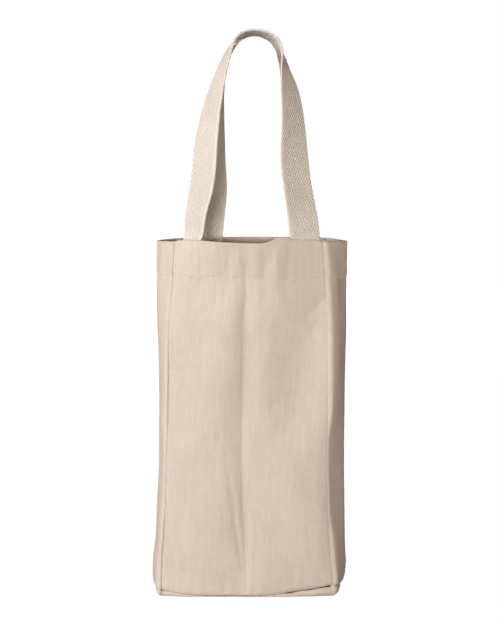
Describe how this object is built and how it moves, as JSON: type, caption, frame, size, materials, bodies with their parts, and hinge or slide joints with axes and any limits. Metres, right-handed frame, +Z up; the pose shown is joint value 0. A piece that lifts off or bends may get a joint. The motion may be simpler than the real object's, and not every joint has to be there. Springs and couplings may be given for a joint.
{
  "type": "bottle carrier bag",
  "caption": "Tall soft canvas carrier with a sewn centre divider for standing bottles side by side, a turned hem at the rim and swinging webbing loop handles.",
  "frame": {"origin": "on the ground under the middle of the base, at the bottom centre of the whole bag's box", "axes": "+Z up from the base to the handles; +X to the right of someone facing the front wall; the front wall faces -Y"},
  "size_m": [0.1982, 0.1176, 0.5688],
  "materials": {
    "canvas": "undyed medium-weight cotton canvas, plain weave with slubs, matte",
    "webbing": "undyed cotton webbing, coarse basket weave, matte",
    "thread": "undyed cotton sewing thread"
  },
  "bodies": {
    "bag": {"front_panel": "canvas", "back_panel": "canvas", "left_gusset": "canvas", "right_gusset": "canvas", "base_panel": "canvas", "divider": "canvas", "front_handle_end_left": "webbing", "front_handle_end_right": "webbing", "back_handle_end_left": "webbing", "back_handle_end_right": "webbing", "hem_thread_front": "thread", "hem_thread_back": "thread", "hem_thread_left": "thread", "hem_thread_right": "thread", "divider_thread_front": "thread", "divider_thread_back": "thread", "tack_thread_front_left": "thread", "tack_thread_front_right": "thread", "tack_thread_back_left": "thread", "tack_thread_back_right": "thread", "seam_thread_front_left": "thread", "seam_thread_front_right": "thread", "seam_thread_back_left": "thread", "seam_thread_back_right": "thread", "base_thread_front": "thread", "base_thread_back": "thread", "base_thread_left": "thread", "base_thread_right": "thread"},
    "front_handle": {"front_handle_loop": "webbing"},
    "back_handle": {"back_handle_loop": "webbing"}
  },
  "joints": [
    {"name": "front_handle_swing", "type": "hinge", "parent": "bag", "child": "front_handle", "pos_m": [0, -0.058, 0.358], "axis": [1, 0, 0], "range_deg": [0, 168]},
    {"name": "back_handle_swing", "type": "hinge", "parent": "bag", "child": "back_handle", "pos_m": [0, 0.058, 0.358], "axis": [-1, 0, 0], "range_deg": [0, 168]}
  ]
}
